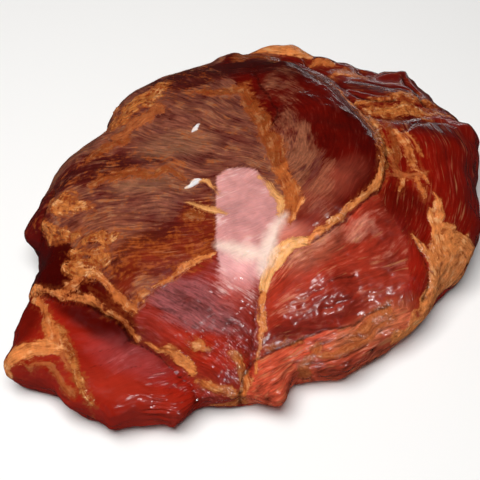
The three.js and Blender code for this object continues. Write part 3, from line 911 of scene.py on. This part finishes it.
# %% Rusty mottling
rusty = add("Math", kept["mottle"], 0.35, **TIMES)
rust_noise = mixed(rusty, ribbons=0.9, spots=0.9, grains=0.7, strands=0.5)
rust_here = add("MapRange", rust_noise, 0.1, 0.45, 0, 0.8, **SOFT)
rust_lightness = add("MapRange", mixed(strands=1.0, grains=0.8, bundles=0.8), -0.25, 0.3, 0, 1, **SOFT)
rust_tone = add("Mix", rust_lightness, shade("#661808"), shade("#a04e1e"), **RGB)
colour = add("Mix", rust_here, colour, rust_tone, **RGB)
print("rust: spots of", IN_THE_ROUND["spots"][0], "mm")

# %% The pink patch, with pale fascia over it
pink_here = add("MapRange", mixed(kept["pink_in"], strands=2.0, grains=1.5), -1, 1, 0, 1, **SOFT)
fascia = add("MapRange", mixed(patches=1.0, strands=0.6, spots=0.6), 0.02, 0.3, 0, 0.6, **SOFT)
pink_light = mixed(1.0, clouds=0.9, spots=0.8, hairs=0.5)
pink_colour = add("VectorMath", kept["pink_tone"], pink_light, **SCALED)
pink_colour = add("Mix", fascia, pink_colour, shade("#e8c4bc"), **RGB)
colour = add("Mix", pink_here, colour, pink_colour, **RGB)
print("pink: strands of", ALONG_GRAIN["strands"][:2], "mm")

# %% [markdown]
# Fat comes in three widths here: threads between the bundles of fibres, seams between the muscles
# and lumps where it lies thick. Lumps are cells with gaps between them, from a Voronoi texture whose
# distance to the edge of a cell gives both the brown gap and the rounded rise. A plain Voronoi looks
# tiled, so its places are pushed about by noise first.
# %% Threads of fat in the lean meat, and rust that creeps into it beside the seams
thread_noise = mixed(add("Math", kept["threads"], 0.2, **TIMES), threads=1.0, patches=0.5)
thread_here = add("MapRange", thread_noise, 0.12, 0.36, 0, 0.6, **SOFT)
colour = add("Mix", thread_here, colour, shade("#c07c52"), **RGB)
halo = add("MapRange", mixed(kept["fat_gap"], bundles=12, grains=8), -3, 1, 0, 0.7, **SOFT)
halo = add("Math", halo, kept["lumps"], **TIMES)
colour = add("Mix", halo, colour, shade("#9c4c20"), **RGB)
print("threads of", ALONG_GRAIN["threads"][:2], "mm")

# %% Lumps of fat
LUMP, PUSH_SIZE, PUSH = 3.6, 6, 4.0
push = add("TexNoise", place, 1 / (PUSH_SIZE * MM), 2, output=1)
pushed = add("VectorMath", push, (PUSH * MM, PUSH * MM, PUSH * MM), place, **TIMES_PLUS)
lump_gap = add("TexVoronoi", pushed, 1 / (LUMP * MM), feature="DISTANCE_TO_EDGE")
print("lumps of", LUMP, "mm")

# %% Fat: its edge, its lumps and its cracks, with painted light and shade on its folds
fat_noise = mixed(grains=3.2, drops=3.4, bundles=3.6, strands=2.6)
raggedness = add("Math", kept["lumps"], 0.7, 0.5, **TIMES_PLUS)
fat_edge_in = add("Math", fat_noise, raggedness, kept["fat_in"], **TIMES_PLUS)
fat_here = add("MapRange", fat_edge_in, -0.5, 0.5, 0, 1, **SOFT)
fat_here = add("Math", fat_here, kept["fat_cover"], **TIMES)
fat_strings = mixed(bundles=1.0, strands=0.8)
fat_lobes = mixed(lobules=1.1, grains=0.8, spots=0.4)
fat_folds = add("Mix", kept["lumps"], fat_strings, fat_lobes)
# The fat's lightness follows its folds, partly its own tone and partly painted light on the ridges.
fat_light = mixed(add("Math", fat_folds, 0.8, 1.0, **TIMES_PLUS), lobules=0.5, clouds=0.6, hairs=0.4)
fat_colour = add("VectorMath", kept["fat_tone"], fat_light, **SCALED)
# Painted highlight, partly paler cream fat: this layer lightens the ridges of the folds.
cream_and_highlight = add("MapRange", mixed(drops=1.0, bundles=0.8, strands=0.6), 0.04, 0.26, 0, 0.55, **SOFT)
cream_and_highlight_reach = add("MapRange", kept["fat_cover"], 0.82, 0.95, 0.15, 1)
cream_and_highlight = add("Math", cream_and_highlight, cream_and_highlight_reach, **TIMES)
browned = add("MapRange", fat_edge_in, 1.5, -0.4, 0, 0.5, **SOFT)
# Painted shade: this layer darkens the valleys between the folds of the fat.
painted_valley_shade = add("MapRange", fat_folds, -0.04, -0.2, 0, 0.85, **SOFT)
valley_shade_reach = add("Math", kept["lumps"], 1.3, 0.25, **TIMES_PLUS, use_clamp=True)
painted_valley_shade = add("Math", painted_valley_shade, valley_shade_reach, **TIMES)
crack = add("MapRange", mixed(lump_gap, spots=0.9, grains=0.3), 0.0, 0.16, 0.45, 0, **SOFT)
crack = add("Math", crack, kept["lumps"], **TIMES)
for share, tone in ((cream_and_highlight, "#f0b47a"), (browned, "#8c3c18"), (painted_valley_shade, "#84300e"), (crack, "#86300e")):
    fat_colour = add("Mix", share, fat_colour, shade(tone), **RGB)
colour = add("Mix", fat_here, colour, fat_colour, **RGB)
print("fats laid:", len(FATS))

# %% Sinew, and painted shade in the creases
sinew_here = add("MapRange", mixed(kept["sinew_in"], spots=1.2, grains=0.6), -1.1, 1.2, 0, 0.85, **SOFT)
sinew_colour = add("VectorMath", linear("#f4d8c6"), mixed(1.0, hairs=0.3, patches=0.4), **SCALED)
colour = add("Mix", sinew_here, colour, sinew_colour, **RGB)
# Painted shade: creases and wrinkles are darkened in the colour itself, as if shadow lay in them.
painted_crease_shade = add("MapRange", mixed(kept["crease_shade_gap"], grains=0.9), 0.2, 1.3, 0.85, 0, **SOFT)
colour = add("Mix", painted_crease_shade, colour, shade("#240603"), **RGB)
print("sinews and creases laid:", len(SINEWS), len(CREASES))

# %% [markdown]
# The gloss tells dry film from wet meat. Film is duller, and on the wet faces brine and fat pool in
# drops, which are nearly as smooth as water. Fine ripples along the grain break the mirror image of
# a light into many small glints. They are far finer than the mesh, so they go into the bump.
# %% Gloss
DRY, DRIER_FILM, WET_GAIN = 0.25, 0.2, -0.18
pools = add("MapRange", mixed(drops=1.0, spots=0.6), -0.1, 0.12, 0.2, 1, **SOFT)
wet_here = add("Math", kept["wet"], pools, **TIMES)
roughness = add("Math", film_here, DRIER_FILM, DRY, **TIMES_PLUS)
roughness = add("Math", wet_here, WET_GAIN, roughness, **TIMES_PLUS)
print("roughness of dry meat:", DRY)

# %% Bump, in millimetres: ripples on the meat, a soft grain and round lumps on the fat
RIPPLE, WET_RIPPLE, RIDGE_RIPPLE = 0.06, 0.9, 0.5
LUMP_RISE = 0.45
wet_squared = add("Math", kept["wet"], 2, operation="POWER")
ripple_reach = add("Math", wet_squared, WET_RIPPLE, RIPPLE, **TIMES_PLUS)
ripple_reach = add("Math", kept["ridges"], RIDGE_RIPPLE, ripple_reach, **TIMES_PLUS)
ripples = add("Math", mixed(swells=1.0, strands=0.2, grit=0.05), ripple_reach, **TIMES)
ripples = add("Math", mixed(dimples=0.3), wet_squared, ripples, **TIMES_PLUS)
off_fat = add("MapRange", fat_here, 0, 0.6, 1, 0)
ripples = add("Math", ripples, off_fat, **TIMES)
on_fat_here = add("Math", mixed(lobules=0.9, grains=0.5), fat_here, **TIMES)
ripples = add("Math", ripples, on_fat_here, operation="ADD")
lump_reach = add("Math", kept["lumps"], fat_here, **TIMES)
lump_height = add("MapRange", lump_gap, 0, 0.3, 0, LUMP_RISE, **SOFT)
lump_rise = add("Math", lump_height, lump_reach, **TIMES)
rise = add("Math", ripples, lump_rise, operation="ADD")
bump = add("Bump", sockets={"Height": rise, "Distance": 1.0 * MM, "Strength": 1.0})
print("lumps of fat rise, mm:", LUMP_RISE)

# %% The shader
SOCKETS = {
    "Base Color": colour, "Roughness": roughness, "Normal": bump, "IOR": 1.4,
    "Subsurface Weight": 0.1, "Subsurface Radius": (1.0, 0.25, 0.12), "Subsurface Scale": 2.5 * MM,
}
add("OutputMaterial", add("BsdfPrincipled", sockets=SOCKETS))
mesh.materials.append(smoked_meat)
mesh.polygons.foreach_set("use_smooth", np.ones(len(mesh.polygons), bool))
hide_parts("smoked_ham")
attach(ham, "root")
print("nodes in the material:", len(tree.nodes))

# %% [markdown]
# ## Table, light and camera
#
# A white table spreads under the ham. One wide soft light hangs overhead and gives the body of the
# light. Both are kept out of the reflections, because so wide a reflection would veil the dark meat.
# Three small lights show in the reflections alone: two at the front right, low and high, for the wet
# glints, and one low and close behind for the glare on the far rim.
# The camera looks down at 55 degrees through a long lens, and the whole ham fills the picture.
# %% The table, of matt white card: it throws soft light back up at the sides and mirrors nothing
TABLE_REACH = 3.0
table_mesh = bpy.data.meshes.new("table")
bm = bmesh.new()
bmesh.ops.create_grid(bm, x_segments=1, y_segments=1, size=TABLE_REACH)
bm.to_mesh(table_mesh)
bm.free()
table = placed("table", table_mesh)
white_card = bpy.data.materials.new("white_card")
white_card.use_nodes = True
card_shader = white_card.node_tree.nodes["Principled BSDF"]
card_shader.inputs["Base Color"].default_value = shade("#f6f5f3")
card_shader.inputs["Roughness"].default_value = 0.9
table_mesh.materials.append(white_card)
table.visible_glossy = False
print("table, m:", table.dimensions[:2])

# %% Lights, each as place, size and power in metres and watts
MIDDLE = Vector((-0.010, -0.024, 0.036))
ROOM_GLOW = 0.02


def soft_light(name, place, size, power):
    data = bpy.data.lights.new(name, "AREA")
    data.shape = "RECTANGLE"
    data.size, data.size_y = size
    data.energy = power
    light = placed(name, data)
    light.location = place
    light.rotation_euler = (MIDDLE - Vector(place)).to_track_quat("-Z", "Y").to_euler()
    return light


overhead = soft_light("overhead", (-0.2, -0.25, 1.3), (0.9, 0.7), 21.6)
overhead.visible_glossy = False
GLINTS = {
    "front_glint": ((0.72, -1.05, 0.24), (0.08, 0.08), 4),
    "high_glint": ((0.35, -0.87, 0.89), (0.07, 0.07), 4.5),
    "low_back": ((0.20, 0.47, 0.006), (0.3, 0.01), 0.10),
}
for name, settings in GLINTS.items():
    glint = soft_light(name, *settings)
    glint.visible_diffuse = False
    glint.visible_camera = False
world = bpy.data.worlds.new("room")
world.use_nodes = True
glow = world.node_tree.nodes["Background"].inputs
glow["Color"].default_value = (1, 1, 1, 1)
glow["Strength"].default_value = ROOM_GLOW
bpy.context.scene.world = world
bpy.context.scene.view_settings.view_transform = "Standard"
print("lights:", overhead.name, *GLINTS)

# %% Camera
ELEVATION = math.radians(55)
DISTANCE = 0.747
LENS_MM = 85
lens = bpy.data.cameras.new("camera")
lens.lens = LENS_MM
camera = placed("camera", lens)
back = Vector((0, -math.cos(ELEVATION), math.sin(ELEVATION)))
camera.location = MIDDLE + DISTANCE * back
camera.rotation_euler = (math.pi / 2 - ELEVATION, 0, 0)
bpy.context.scene.camera = camera
print("camera height, m:", round(camera.location.z, 3))
